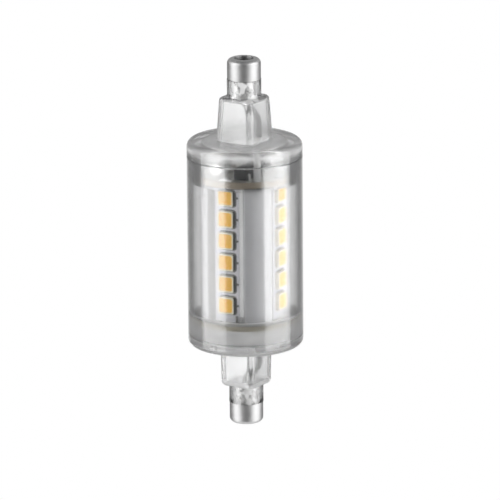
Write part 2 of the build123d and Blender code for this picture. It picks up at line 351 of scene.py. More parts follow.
def pad_ring(inset, depth):
    """Outline of the pad drawn in by an inset, with a track that leaves it on the terminal's side."""
    width = led_width + 2 * (pad_margin_side - inset)
    height = led_height + 2 * (pad_margin_end - inset)
    half = track_half - inset / 2
    track = [Vector((width / 2 + out * track_reach, -board_face - depth, rise * half))
             for out, rise in ((0, -1), (1, -1), (1, 1), (0, 1))]
    outline = rounded_ring(width, height, pad_corner, depth) + track
    return [point + Vector((pad_shift, 0, 0)) for point in outline]


pad_model = skin("led_pad_model", [
    pad_ring(0, 0),
    pad_ring(0, pad_thickness / 2),
    pad_ring(pad_slope, pad_thickness),
])


def rows_tree():
    """Geometry Nodes: a model in a row down the board, and the row again at each board."""
    tree = bpy.data.node_groups.new("rows_on_boards", "GeometryNodeTree")
    for name, kind in (
        ("Model", "NodeSocketObject"), ("Rows", "NodeSocketInt"), ("First Level", "NodeSocketFloat"),
        ("Pitch", "NodeSocketFloat"), ("Boards", "NodeSocketInt"), ("Finish", "NodeSocketMaterial"),
    ):
        tree.interface.new_socket(name, in_out="INPUT", socket_type=kind)
    tree.interface.new_socket("Geometry", in_out="OUTPUT", socket_type="NodeSocketGeometry")
    wire = Wire(tree)
    given = {item.name: wire.make("NodeGroupInput", output=item.name)
             for item in tree.interface.items_tree if item.in_out == "INPUT"}
    copied = {"Object": given["Model"], "As Instance": True}
    model = wire.make("GeometryNodeObjectInfo", copied, output="Geometry")
    start = wire.make("ShaderNodeCombineXYZ", {"Z": given["First Level"]})
    down = wire.make("ShaderNodeCombineXYZ", {"Z": given["Pitch"] * -1.0})
    steps_down = {"Count": given["Rows"], "Start Location": start, "Offset": down}
    levels = wire.make("GeometryNodeMeshLine", steps_down)
    row = wire.make("GeometryNodeInstanceOnPoints", {"Points": levels, "Instance": model})
    places = wire.make("GeometryNodeMeshLine", {"Count": given["Boards"], "Offset": (0, 0, 0)})
    share = wire.sum("DIVIDE", wire.make("GeometryNodeInputIndex"), given["Boards"])
    turn = wire.make("ShaderNodeCombineXYZ", {"Z": share * math.tau})
    rotation = wire.make("FunctionNodeEulerToRotation", {"Euler": turn})
    turned = {"Points": places, "Instance": row, "Rotation": rotation}
    ring = wire.make("GeometryNodeInstanceOnPoints", turned)
    real = wire.make("GeometryNodeRealizeInstances", {"Geometry": ring})
    finished = wire.make("GeometryNodeSetMaterial", {"Geometry": real, "Material": given["Finish"]})
    wire.make("NodeGroupOutput", {"Geometry": finished})
    return tree


def evaluated(holder):
    """The holder's evaluated result as a plain mesh."""
    bpy.context.view_layer.update()
    return bpy.data.meshes.new_from_object(holder.evaluated_get(bpy.context.evaluated_depsgraph_get()))


def in_rows(name, tree, values):
    """A piece made by a Geometry Nodes tree from named values; the model it copies is removed."""
    holder = bpy.data.objects.new(name, bpy.data.meshes.new(name))
    bpy.context.scene.collection.objects.link(holder)
    modifier = holder.modifiers.new("rows", "NODES")
    modifier.node_group = tree
    for item in tree.interface.items_tree:
        if item.in_out == "INPUT":
            modifier[item.identifier] = values[item.name]
    result = evaluated(holder)
    holder.modifiers.clear()
    holder.data = result
    bpy.data.objects.remove(values["Model"])
    return holder


board_rows = rows_tree()
led_rows = {"Rows": LED_ROWS, "First Level": led_first, "Pitch": led_pitch, "Boards": BOARD_COUNT}

package_finish, package = new_finish("led_package")
package_x, package_y = along(package, "X"), along(package, "Y")
package_out = package.sum("MAXIMUM", abs(package_x), abs(package_y))
package_top = package_out.above(board_face + led_depth - shaded_terminal_drop, shaded_terminal_fade)
package_mottle = grain(package, (3000, 3000, 3000))
on_y_board = abs(package_y).above(abs(package_x))
to_right = package_x * package.sum("SIGN", package_y) * -1.0
to_right = on_y_board * to_right + (1 - on_y_board) * package_y * package.sum("SIGN", package_x)
# The dark terminal on each package's right side is partly a real tinned terminal and partly painted
# shade on that side.
terminal_and_painted_shade = (1 - package_top) * to_right.above(led_width / 2 - shaded_terminal_wrap)
terminal_shade_colour = package_mottle.blend((0.16, 0.16, 0.15, 1), (0.30, 0.30, 0.29, 1))
moulded_colour = package_mottle.blend((0.80, 0.74, 0.60, 1), (0.90, 0.85, 0.72, 1))
surface(package, {
    "Base Color": terminal_and_painted_shade.blend(moulded_colour, terminal_shade_colour),
    "Metallic": terminal_and_painted_shade,
    "Roughness": 0.25 + package_mottle * 0.2,
})
package_values = dict(led_rows, Model=package_model, Finish=package_finish)
packages = in_rows("led_packages", board_rows, package_values)
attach(packages, "root")
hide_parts(*[f"led_frames_{number}" for number in board_numbers])

phosphor_finish, phosphor = new_finish("led_phosphor")
phosphor_speck = grain(phosphor, (6000, 6000, 6000))
phosphor_cloud = grain(phosphor, (420, 420, 420))
phosphor_tone = phosphor_cloud * 0.7 + phosphor_speck * 0.3
surface(phosphor, {
    "Base Color": phosphor_tone.blend((0.97, 0.50, 0.05, 1), (1.0, 0.62, 0.10, 1)),
    "Roughness": 0.42 + phosphor_speck * 0.2,
    "Normal": relief(phosphor, phosphor_speck, strength=0.25, depth=0.03 * MM),
})
phosphor_values = dict(led_rows, Model=phosphor_model, Finish=phosphor_finish)
phosphors = in_rows("led_phosphor_fills", board_rows, phosphor_values)
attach(phosphors, "root")
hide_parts(*[f"led_phosphors_{number}" for number in board_numbers])

# The pads are coloured near black as a painted shadow round each package, widest on its right side and
# along the track.
pad_shadow_finish, pad = new_finish("pad_painted_shadow")
pad_mottle = grain(pad, (2500, 2500, 2500))
surface(pad, {
    "Base Color": pad_mottle.blend((0.10, 0.105, 0.10, 1), (0.24, 0.24, 0.235, 1)),
    "Metallic": 0.6,
    "Roughness": 0.35 + pad_mottle * 0.25,
})
pads = in_rows("led_pads", board_rows, dict(led_rows, Model=pad_model, Finish=pad_shadow_finish))
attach(pads, "root")

# Board adhesive: white heat-conducting adhesive that holds each LED board in its trough. It comes out
# along the board's right edge and fills the corner up to the trough's flank, a little unevenly.
bead_depth = 0.06 * MM
bead_end = 0.5 * MM
bead_foot = 1.6 * MM
bead_bite = 0.03 * MM
bead_hollow = 0.07 * MM
bead_swell = 0.08 * MM
bead_waves = 0.9 / MM
bead_seed = 3.0
bead_lengths = 60
bead_low = sink_low.z + bead_foot
bead_step = (board_high.z - bead_end - bead_low) / bead_lengths


def bead_ring(level):
    """Section of the adhesive beside a board's edge at a level."""
    uneven = noise.noise(Vector((bead_seed, 0, level * bead_waves))) * bead_swell
    depth = board_face - bead_depth + uneven
    flank = trough_half + (depth - trough_floor) * flank_slope
    edge = board_high.x - bead_bite
    return [
        Vector((edge, -trough_floor, level)),
        Vector((trough_half + bead_bite, -trough_floor, level)),
        Vector((flank + bead_bite, -depth, level)),
        Vector(((edge + flank) / 2, -depth + bead_hollow, level)),
        Vector((edge, -depth, level)),
    ]


adhesive_finish, adhesive = new_finish("white_adhesive")
adhesive_mottle = grain(adhesive, (1400, 1400, 500))
surface(adhesive, {
    "Base Color": adhesive_mottle.blend((0.82, 0.82, 0.82, 1), (0.92, 0.92, 0.92, 1)),
    "Roughness": 0.45 + adhesive_mottle * 0.2,
    "Normal": relief(adhesive, adhesive_mottle, strength=0.3, depth=0.05 * MM),
})
bead_model = skin("bead_model", [
    bead_ring(bead_low + bead_step * step) for step in range(bead_lengths + 1)
], sharp=50)
bead_rows = {"Rows": 1, "First Level": 0.0, "Pitch": 0.0, "Boards": BOARD_COUNT}
beads = in_rows("board_adhesive", board_rows, dict(bead_rows, Model=bead_model, Finish=adhesive_finish))
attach(beads, "root")

# Round boards: the driver board on top of the heat sink and the link board under it, tan fibreglass
# discs with a pale mask, slotted for the LED boards' tongues. The CAD solids stay. A lump of solder
# closes each slot on the outer face, and is a little different at each joint.
driver_low, driver_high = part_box("driver_board")
link_low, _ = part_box("link_board")
disc_radius = driver_high.x
disc_skin = 0.06 * MM
weave_count = 9000
tongue_middle = -(board_face + trough_floor) / 2
solder_shift = 0.1 * MM
solder_width = 1.9 * MM
solder_thickness = 1.1 * MM
upper_solder_height = 0.8 * MM
lower_solder_height = -0.6 * MM
solder_profile = ((0, 1.0), (0.25, 0.96), (0.55, 0.8), (0.8, 0.55), (0.95, 0.28))
SOLDER_SIDES = 32
side_waves, side_swell = 1.7, 0.22
top_waves, top_swell, top_least = 2.3, 0.4, 0.8
rise_waves = 1.3


def from_axis(wire):
    """Distance from the lamp's axis."""
    x, y = along(wire, "X"), along(wire, "Y")
    return wire.sum("SQRT", x * x + y * y)


disc_finish, disc = new_finish("tan_fibreglass")
disc_x, disc_y, disc_z = (along(disc, axis) for axis in "XYZ")
plies = grain(disc, (200, 200, 9000), detail=1.0)
weave = disc.sum("SINE", disc_x * weave_count) * disc.sum("SINE", disc_y * weave_count)
rim = from_axis(disc).above(disc_radius - disc_skin)
# The link board's rim is a darker copy of the driver board's fibreglass: painted shade on the lower
# disc.
driver_rim = plies.blend((0.44, 0.35, 0.25, 1), (0.72, 0.62, 0.48, 1))
link_rim_painted_shade = plies.blend((0.17, 0.15, 0.10, 1), (0.34, 0.31, 0.22, 1))
rim_colour = disc_z.above(0.0).blend(link_rim_painted_shade, driver_rim)
mask_pale = (weave * 0.25 + 0.5).blend((0.46, 0.45, 0.41, 1), (0.56, 0.55, 0.50, 1))
surface(disc, {
    "Base Color": rim.blend(mask_pale, rim_colour),
    "Roughness": 0.42 + rim * 0.25,
    "Normal": relief(disc, weave + plies, strength=0.15, depth=0.02 * MM),
})
dress("driver_board", disc_finish)
dress("link_board", disc_finish)


def lump(name, middle, width, thickness, level, height, seed):
    """Uneven drop of solder that stands on a board, its top to the sign of the height."""
    rings = []
    for share, spread in solder_profile:
        ring = []
        for step in range(SOLDER_SIDES):
            angle = math.tau * step / SOLDER_SIDES
            cosine, sine = math.cos(angle), math.sin(angle)
            spot = Vector((cosine * spread, sine * spread, share * rise_waves + seed))
            uneven = 1 + side_swell * noise.noise(spot * side_waves)
            ring.append(Vector((
                middle.x + width / 2 * spread * uneven * cosine,
                middle.y + thickness / 2 * spread * uneven * sine,
                level + height * share * (top_least + top_swell * noise.noise(spot * top_waves)),
            )))
        rings.append(ring)
    return skin(name, rings, sharp=70)


solder_finish, solder = new_finish("bright_solder")
solder_dull = grain(solder, (1800, 1800, 1800))
solder_ripple = grain(solder, (700, 700, 700), detail=1.0)
surface(solder, {
    "Base Color": solder_dull.blend((0.46, 0.46, 0.45, 1), (0.66, 0.66, 0.65, 1)),
    "Metallic": 1.0,
    "Roughness": 0.28 + solder_dull * 0.25,
    "Normal": relief(solder, solder_ripple, strength=0.5, depth=0.2 * MM),
})
for index in range(BOARD_COUNT):
    to_board = Matrix.Rotation(math.tau * index / BOARD_COUNT, 3, "Z")
    middle = to_board @ Vector((0, tongue_middle + solder_shift, 0))
    reach = (solder_width, solder_thickness) if index % 2 == 0 else (solder_thickness, solder_width)
    for end, level, height in (
        ("upper", driver_high.z, upper_solder_height), ("lower", link_low.z, lower_solder_height),
    ):
        name = f"tongue_solder_{end}_{index + 1}"
        joint = lump(name, middle, *reach, level, height, seed=index + level / MM)
        joint.data.materials.append(solder_finish)
        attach(joint, "root")

# Parts of the driver: a bridge rectifier and a regulator in black mouldings on bent tinned leads, a
# leadless fuse resistor with metal end bands, and a sleeved capacitor hanging in the heat sink's bore.
# They are soldered to the driver board before it drops over the LED boards' tongues.
chip_lead_reach = 0.88 * MM
resistor_low, resistor_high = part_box("fuse_resistor")
resistor_middle = (resistor_low.y + resistor_high.y) / 2
resistor_half = (resistor_high.y - resistor_low.y) / 2
end_band_width = 1.0 * MM
end_band_fade = 0.05 * MM
dark_band_inner = 0.9 * MM
dark_band_outer = 1.25 * MM
dark_band_fade = 0.04 * MM
stripe_start = 3.4 * MM
stripe_fade = 0.1 * MM

for chip_name in ("bridge_rectifier", "regulator_chip"):
    chip_low, chip_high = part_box(chip_name)
    chip_finish, chip = new_finish(f"black_moulding_{chip_name}")
    chip_middle = (chip_low.x + chip_high.x) / 2
    chip_edge = (chip_high.x - chip_low.x) / 2 - chip_lead_reach
    lead_part = abs(along(chip, "X") - chip_middle).above(chip_edge)
    chip_grain = grain(chip, (7000, 7000, 7000))
    chip_black = chip_grain.blend((0.03, 0.03, 0.031, 1), (0.07, 0.07, 0.072, 1))
    surface(chip, {
        "Base Color": lead_part.blend(chip_black, (0.75, 0.75, 0.74, 1)),
        "Metallic": lead_part,
        "Roughness": 0.5 + chip_grain * 0.15 - lead_part * 0.28,
        "Normal": relief(chip, chip_grain, strength=0.3, depth=0.03 * MM),
    })
    dress(chip_name, chip_finish)

resistor_finish, resistor = new_finish("resistor_lacquer")
from_middle = abs(along(resistor, "Y") - resistor_middle)
end_band = from_middle.above(resistor_half - end_band_width, end_band_fade)
dark_band = from_middle.between(dark_band_inner, dark_band_outer, dark_band_fade)
lacquer_grain = grain(resistor, (3000, 3000, 3000))
lacquer = lacquer_grain.blend((0.42, 0.42, 0.41, 1), (0.56, 0.56, 0.55, 1))
banded = dark_band.blend(lacquer, (0.02, 0.02, 0.02, 1))
surface(resistor, {
    "Base Color": end_band.blend(banded, (0.8, 0.79, 0.77, 1)),
    "Metallic": end_band,
    "Roughness": 0.3 + lacquer_grain * 0.15,
})
dress("fuse_resistor", resistor_finish)

sleeve_finish, sleeve = new_finish("capacitor_sleeve")
pin_part = along(sleeve, "Z").above(driver_low.z)
stripe = along(sleeve, "X").above(stripe_start, stripe_fade)
sleeve_grain = grain(sleeve, (2000, 2000, 400))
sleeve_black = sleeve_grain.blend((0.015, 0.017, 0.03, 1), (0.035, 0.038, 0.055, 1))
striped = stripe.blend(sleeve_black, (0.45, 0.46, 0.48, 1))
surface(sleeve, {
    "Base Color": pin_part.blend(striped, (0.8, 0.8, 0.79, 1)),
    "Metallic": pin_part,
    "Roughness": 0.28 + sleeve_grain * 0.15,
})
dress("smoothing_capacitor", sleeve_finish)

# Leads: one insulated stranded lead from each contact to its round board. The upper one bends out to the
# front of the driver board, the lower one jogs to the side of its collar. Each is one smooth run of soft
# plastic over the wire, soldered at both ends, and its white is painted dark grey in the collar as
# shade.
lead_radius = 0.65 * MM
collar_shade_level = 22.3 * MM
collar_shade_fade = 0.2 * MM
upper_low, upper_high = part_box("upper_lead")
lower_low, lower_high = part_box("lower_lead")
upper_foot = Vector((upper_high.x - lead_radius, upper_low.y + lead_radius, driver_high.z))
lower_foot = Vector((lower_high.x - lead_radius, lower_high.y - lead_radius, link_low.z))
upper_side = (2.6 * MM, 0.6 * MM)
upper_bend = 29.1 * MM
upper_straight = 4 * MM
upper_slant = 2.3 * MM
upper_hang = 5.2 * MM
upper_turn_in = 5.3 * MM
upper_stand = 2.9 * MM
lower_bend = -29.2 * MM
lower_straight = 3 * MM
lower_slant = 2.2 * MM
lower_hang = 5 * MM


def lead(name, route):
    """Round insulated lead on a smooth curve through a route's control points."""
    path = bpy.data.curves.new(name, "CURVE")
    path.dimensions = "3D"
    path.bevel_depth = lead_radius
    path.bevel_resolution = 6
    path.resolution_u = 12
    path.use_fill_caps = True
    run = path.splines.new("NURBS")
    run.points.add(len(route) - 1)
    for point, spot in zip(run.points, route):
        point.co = (*spot, 1)
    run.order_u = 3
    run.use_endpoint_u = True
    holder = bpy.data.objects.new(name + "_path", path)
    bpy.context.scene.collection.objects.link(holder)
    tube = evaluated(holder)
    bpy.data.objects.remove(holder)
    return smooth_piece(name, tube, sharp=50)


insulation_finish, insulation = new_finish("lead_insulation")
insulation_mottle = grain(insulation, (1500, 1500, 300))
# Past the collar's level the white insulation is painted near black: painted shade in the collars.
collar_shade = abs(along(insulation, "Z")).above(collar_shade_level, collar_shade_fade)
bare_white = insulation_mottle.blend((0.90, 0.90, 0.89, 1), (0.97, 0.97, 0.96, 1))
collar_shade_grey = insulation_mottle.blend((0.05, 0.05, 0.05, 1), (0.10, 0.10, 0.10, 1))
surface(insulation, {
    "Base Color": collar_shade.blend(bare_white, collar_shade_grey),
    "Roughness": 0.35 + insulation_mottle * 0.2,
    "Normal": relief(insulation, insulation_mottle, strength=0.2, depth=0.05 * MM),
})
upper_lead = lead("upper_lead_run", [
    (0, 0, upper_high.z),
    (0, 0, upper_bend + upper_straight),
    (0, 0, upper_bend),
    (*upper_side, upper_bend - upper_slant),
    (*upper_side, upper_bend - upper_hang),
    (*upper_side, driver_high.z + upper_turn_in),
    (upper_foot.x, upper_foot.y, driver_high.z + upper_stand),
    (upper_foot.x, upper_foot.y, driver_high.z),
])
lower_lead = lead("lower_lead_run", [
    (0, 0, lower_low.z),
    (0, 0, lower_bend - lower_straight),
    (0, 0, lower_bend),
    (lower_foot.x, lower_foot.y, lower_bend + lower_slant),
    (lower_foot.x, lower_foot.y, lower_bend + lower_hang),
    tuple(lower_foot),
])
for piece, node_name in ((upper_lead, "upper_lead"), (lower_lead, "lower_lead")):
    piece.data.materials.append(insulation_finish)
    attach(piece, "root")
    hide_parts(node_name)

# Contacts: a drawn and plated metal cup pressed over the peg at each end, with a recess in its end face
# for the holder's sprung button. White sealant, pressed in round the lead's end, fills the neck's bore.
contact_low, contact_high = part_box("upper_contact")
contact_radius = contact_high.x
contact_wall = 0.4 * MM
contact_round = 1.0 * MM
mouth_round = 0.12 * MM
recess_radius = 2.0 * MM
recess_depth = 1.6 * MM
recess_corner = 0.3 * MM
recess_lip = 0.08 * MM
recess_edge = 0.02 * MM
end_face_depth = 0.6 * MM
end_face_fade = 0.4 * MM
CONTACT_SIDES = 120
SEALANT_RINGS = 25
SEALANT_SIDES = 72
sealant_step = 0.26 * MM
sealant_radius = 1.62 * MM
sealant_limit = 1.9 * MM
sealant_rise = 0.16
sealant_folds = ((1.9, 0.34 * MM), (5.1, 0.12 * MM))


def round_ring(radius, level, sides=CONTACT_SIDES):
    """A circle about the lamp's axis at a level."""
    angles = [math.tau * step / sides for step in range(sides)]
    return [Vector((radius * math.cos(angle), radius * math.sin(angle), level)) for angle in angles]


def bend_rings(radius, level, bend, first, last, steps=7, sides=CONTACT_SIDES):
    """Rings round a rounded edge, from a first to a last angle about the bend's centre, in degrees."""
    rings = []
    for step in range(steps + 1):
        angle = math.radians(first + (last - first) * step / steps)
        rings.append(round_ring(radius + bend * math.cos(angle), level + bend * math.sin(angle), sides))
    return rings


def at_end(rings, sign):
    """Rings of an upper end, as they are or, with a sign of -1, turned over to the lower end."""
    return [[Vector((point.x, point.y, sign * point.z)) for point in ring] for ring in rings]


def contact(name, sign):
    """One contact cup, for the upper end or, with its levels reversed, for the lower."""
    top, mouth = contact_high.z, contact_low.z
    floor = top - recess_depth
    inner = contact_radius - contact_wall
    dimple = recess_radius + contact_wall
    rings = [round_ring(recess_radius - recess_corner, floor)]
    rings += [round_ring(recess_radius, floor + recess_corner)]
    rings += bend_rings(recess_radius + recess_lip, top - recess_lip, recess_lip, 180, 90, steps=3)
    rings += bend_rings(contact_radius - contact_round, top - contact_round, contact_round, 90, 0)
    rings += bend_rings(contact_radius - mouth_round, mouth + mouth_round, mouth_round, 0, -90, steps=3)
    rings += [round_ring(inner, mouth), round_ring(inner, top - contact_round)]
    rings += [round_ring(contact_radius - contact_round, top - contact_wall)]
    rings += [round_ring(dimple, top - contact_wall), round_ring(dimple, floor - contact_wall)]
    return skin(name, at_end(rings, sign))


plate_finish, plate = new_finish("bright_plating")
plate_wear = grain(plate, (900, 900, 900))
plate_lines = grain(plate, (300, 300, 5000))
in_recess = 1 - from_axis(plate).above(recess_radius + recess_edge)
end_face = abs(along(plate, "Z")).above(contact_high.z - end_face_depth, end_face_fade)
# The end face gets a lighter copy of the plating as painted light, and the recess a darker copy as
# painted shade.
side_plating = plate_wear.blend((0.31, 0.31, 0.31, 1), (0.41, 0.41, 0.41, 1))
end_face_painted_light = plate_wear.blend((0.54, 0.54, 0.54, 1), (0.64, 0.64, 0.64, 1))
recess_painted_shade = plate_wear.blend((0.26, 0.26, 0.26, 1), (0.34, 0.34, 0.34, 1))
surface(plate, {
    "Base Color": in_recess.blend(end_face.blend(side_plating, end_face_painted_light), recess_painted_shade),
    "Metallic": 1.0,
    "Roughness": 0.42 + plate_wear * 0.12,
    "Normal": relief(plate, plate_lines + plate_wear, strength=0.12, depth=0.04 * MM),
})
for end, sign in (("upper", 1), ("lower", -1)):
    cup = contact(f"{end}_contact_cup", sign)
    cup.data.materials.append(plate_finish)
    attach(cup, "root")
    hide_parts(f"{end}_contact")


def neck_sealant(name, sign, seed):
    """Crumpled plug of sealant round the lead, from the contact's recess down the neck's bore."""
    top = contact_high.z - recess_depth - contact_wall
    rings = []
    for row in range(SEALANT_RINGS):
        ring = []
        for step in range(SEALANT_SIDES):
            angle = math.tau * step / SEALANT_SIDES
            cosine, sine = math.cos(angle), math.sin(angle)
            spot = Vector((cosine, sine, row * sealant_rise + seed))
            crumple = sum(noise.noise(spot * waves) * depth for waves, depth in sealant_folds)
            swell = min(sealant_radius + crumple, sealant_limit)
            ring.append(Vector((swell * cosine, swell * sine, top - row * sealant_step)))
        rings.append(ring)
    return skin(name, at_end(rings, sign), sharp=60)


sealant_finish, sealant = new_finish("white_sealant")
sealant_crumple = grain(sealant, (900, 900, 700), detail=4.0)
# Thin dark lines along the crumples are painted shade in the creases.
crease_painted_shade = sealant_crumple.near(0.5, half=0.035, fade=0.04)
surface(sealant, {
    "Base Color": (crease_painted_shade * 0.8).blend((0.93, 0.93, 0.92, 1), (0.25, 0.25, 0.24, 1)),
    "Roughness": 0.5 + sealant_crumple * 0.25,
    "Normal": relief(sealant, sealant_crumple, strength=0.9, depth=0.3 * MM),
})
for end, sign, seed in (("upper", 1, 3.1), ("lower", -1, 8.4)):
    plug = neck_sealant(f"{end}_neck_sealant", sign, seed)
    plug.data.materials.append(sealant_finish)
    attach(plug, "root")

# Tube housing: one clear injection moulding in polycarbonate, with a rounded lower edge, a seat for the
# heat sink, a hollow square collar and the neck and peg for the lower contact. All other parts go in
# from its open top.
_, housing_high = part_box("tube_housing")
body_radius = housing_high.x
tube_wall = 1.2 * MM
bore_radius = body_radius - tube_wall
seat_radius = 8.8 * MM
rim_radius = 9.35 * MM
rim_height = 0.5 * MM
body_bottom = -22.0 * MM
end_plate = 1.5 * MM
inner_floor = body_bottom + end_plate
lower_round = 1.4 * MM
floor_round = 0.6 * MM
collar_end = 31.0 * MM
collar_turn = math.radians(-5.5)
collar_cut = 0.7 * MM
collar_wall = 0.7 * MM
collar_end_wall = 0.9 * MM
collar_fillet = 0.3 * MM
lower_foot_half = 4.15 * MM
lower_end_half = 4.0 * MM
lower_end_round = 0.9 * MM
neck_radius = 3.58 * MM
neck_rise = 0.02 * MM
peg_radius = 3.05 * MM
peg_end = 36.8 * MM
lead_way = 2.0 * MM
seam_break = 0.12 * MM
BODY_SIDES = 240
CORNER_POWER = 70
FILLET_STEPS = 4
ROUND_STEPS = 8


def body_ring(radius, level):
    """A circle of the body, fine enough for its large radius."""
    return round_ring(radius, level, BODY_SIDES)


def body_bend(radius, level, bend, first, last, steps):
    """Rings round a rounded edge of the body."""
    return bend_rings(radius, level, bend, first, last, steps, BODY_SIDES)


def square_ring(half, cut, level, least=0.0):
    """A square on the collars' turn, with cut and softened corners, and never inside a least radius."""
    ring = []
    for step in range(BODY_SIDES):
        angle = math.tau * step / BODY_SIDES
        from_face = (angle - collar_turn + math.pi / 4) % (math.pi / 2) - math.pi / 4
        face = half / math.cos(from_face)
        corner = (half * math.sqrt(2) - cut / math.sqrt(2)) / math.cos(math.pi / 4 - abs(from_face))
        soft = (face ** -CORNER_POWER + corner ** -CORNER_POWER) ** (-1 / CORNER_POWER)
        reach = max(soft, least)
        ring.append(Vector((reach * math.cos(angle), reach * math.sin(angle), level)))
    return ring


def end_rings(plate_level, inner_plate, foot_half, end_half, end_round):
    """Rings of an upper end, from its plate over collar, neck and peg and down the hollow inside."""
    rings = []
    for step in range(FILLET_STEPS + 1):
        angle = math.pi / 2 * step / FILLET_STEPS
        out = collar_fillet * (1 - math.sin(angle))
        level = plate_level + collar_fillet * (1 - math.cos(angle))
        rings.append(square_ring(foot_half + out, collar_cut, level))
    for step in range(ROUND_STEPS + 1):
        angle = math.pi / 2 * step / ROUND_STEPS
        back = end_round * (1 - math.cos(angle))
        level = collar_end - end_round * (1 - math.sin(angle))
        rings.append(square_ring(end_half - back, collar_cut, level, neck_radius))
    shoulder = contact_low.z
    roof = collar_end - collar_end_wall
    rings += [body_ring(neck_radius, collar_end + neck_rise), body_ring(neck_radius, shoulder)]
    rings += [body_ring(peg_radius, shoulder), body_ring(peg_radius, peg_end)]
    rings += [body_ring(lead_way, peg_end), body_ring(lead_way, roof)]
    rings += [square_ring(end_half - collar_wall, collar_cut, roof)]
    rings += [square_ring(foot_half - collar_wall, collar_cut, inner_plate)]
    return rings


# The finish of both mouldings. The ends are a little milky and dull, the necks cloudy on two sides where
# the sealant lies against them, and the seat dull. The seat's rim, the lower edge and the inner floor's
# corner are tinted grey as painted shade.
cap_level, cap_fade = 19.7 * MM, 2.0 * MM
foot_level, foot_fade = -20.9 * MM, 0.5 * MM
collar_level, collar_fade = -body_bottom + 0.1 * MM, 0.3 * MM
neck_level, neck_fade = collar_end - 0.3 * MM, 0.6 * MM
cloud_level, cloud_fade = collar_end - 1.0 * MM, 0.9 * MM
seal_turn = math.radians(28)
seal_side, seal_fade = 2.6 * MM, 0.9 * MM
in_bore_radius = bore_radius + 0.03 * MM
seat_top = sink_low.z + 1 * MM
seat_rim_level, seat_rim_half, seat_rim_fade = sink_low.z + rim_height / 2, 0.45 * MM, 0.15 * MM
corner_inner, corner_outer = seat_radius - 0.7 * MM, seat_radius + 0.05 * MM
corner_level, corner_half, corner_fade = inner_floor + 0.3 * MM, 0.4 * MM, 0.1 * MM
edge_top, edge_fade, edge_bottom = -19.9 * MM, 0.6 * MM, body_bottom - 0.2 * MM
cap_dull, foot_dull, cloud_dull, seat_dull = 0.08, 0.18, 0.2, 0.42
collar_shine, neck_shine = 0.08, 0.06
cap_milk, foot_milk, cloud_milk, seal_milk, fold_milk = 0.26, 0.05, 0.14, 0.15, 0.5
upper_collar_clear, lower_collar_milk, lower_seal_clear = 0.12, 0.03, 0.4
edge_shade_grey = (0.76, 0.76, 0.765, 1)
neck_grey = (0.6, 0.6, 0.6, 1)
seat_rim_shade_grey = (0.5, 0.5, 0.5, 1)
corner_shade_grey = (0.3, 0.3, 0.3, 1)

clear_finish, clear = new_finish("clear_polycarbonate")
clear_flow = grain(clear, (130, 130, 40), detail=2.0)
clear_haze = grain(clear, (2600, 2600, 2600))
seal_folds = grain(clear, (800, 800, 600), detail=2.0).above(0.5, 0.1)
clear_x, clear_y, clear_z = (along(clear, axis) for axis in "XYZ")
clear_radius = from_axis(clear)
to_ends = abs(clear_z)

cap_part = clear_z.above(cap_level, cap_fade)
foot_part = 1 - clear_z.above(foot_level, foot_fade)
neck_part = to_ends.above(neck_level, neck_fade)
collar_part = to_ends.above(collar_level, collar_fade) * (1 - neck_part)
collar_cloud = foot_part * to_ends.above(cloud_level, cloud_fade) * (1 - neck_part)
seal_front = abs(clear_x * math.sin(seal_turn) - clear_y * math.cos(seal_turn))
seal_patch = neck_part * seal_front.above(seal_side, seal_fade)
in_bore = 1 - clear_radius.above(in_bore_radius)
seat_part = clear_z.between(body_bottom, seat_top) * in_bore
seat_rim = in_bore * clear_z.near(seat_rim_level, seat_rim_half, seat_rim_fade)
in_corner = clear_z.near(corner_level, corner_half, corner_fade)
floor_corner = clear_radius.between(corner_inner, corner_outer) * in_corner
lower_edge = (1 - clear_z.above(edge_top, edge_fade)) * clear_z.above(edge_bottom)

foot_dulled = foot_part * (foot_dull - collar_part * collar_shine)
end_dulled = cap_part * cap_dull + foot_dulled - neck_part * neck_shine
dulled = clear.sum("MAXIMUM", end_dulled + collar_cloud * cloud_dull, seat_part * seat_dull)
cap_cloud = cap_part * (cap_milk - collar_part * upper_collar_clear)
foot_cloud = foot_part * (foot_milk + collar_part * lower_collar_milk)
end_cloud = cap_cloud + foot_cloud + collar_cloud * cloud_milk
seal_cloud = seal_patch * (seal_milk + seal_folds * fold_milk) * (1 - foot_part * lower_seal_clear)
milk = end_cloud * (1 - neck_part) + seal_cloud
tint = clear_flow.blend((0.965, 0.968, 0.97, 1), (0.985, 0.986, 0.988, 1))
# The lower edge and the seat's rim are tinted grey: painted shade.
tint = lower_edge.blend(tint, edge_shade_grey)
tint = (neck_part * (1 - seal_patch)).blend(tint, neck_grey)
tint = seat_rim.blend(tint, seat_rim_shade_grey)
glass = clear.make("ShaderNodeBsdfPrincipled", {
    # Painted shade in the inner floor's corner.
    "Base Color": floor_corner.blend(tint, corner_shade_grey),
    "Roughness": 0.12 + clear_haze * 0.04 + dulled,
    "IOR": 1.585,
    "Transmission Weight": 1.0,
    "Coat Weight": 0.15,
    "Coat Roughness": 0.2,
    "Normal": relief(clear, clear_flow, strength=0.05, depth=0.4 * MM),
})
cloudy = clear.make("ShaderNodeBsdfPrincipled", {
    "Base Color": clear_haze.blend((0.84, 0.84, 0.84, 1), (0.92, 0.92, 0.92, 1)),
    "Roughness": 0.4 + clear_haze * 0.1,
})
mixed = clear.make("ShaderNodeMixShader", {0: milk, 1: glass, 2: cloudy})
clear.make("ShaderNodeOutputMaterial", {"Surface": mixed})

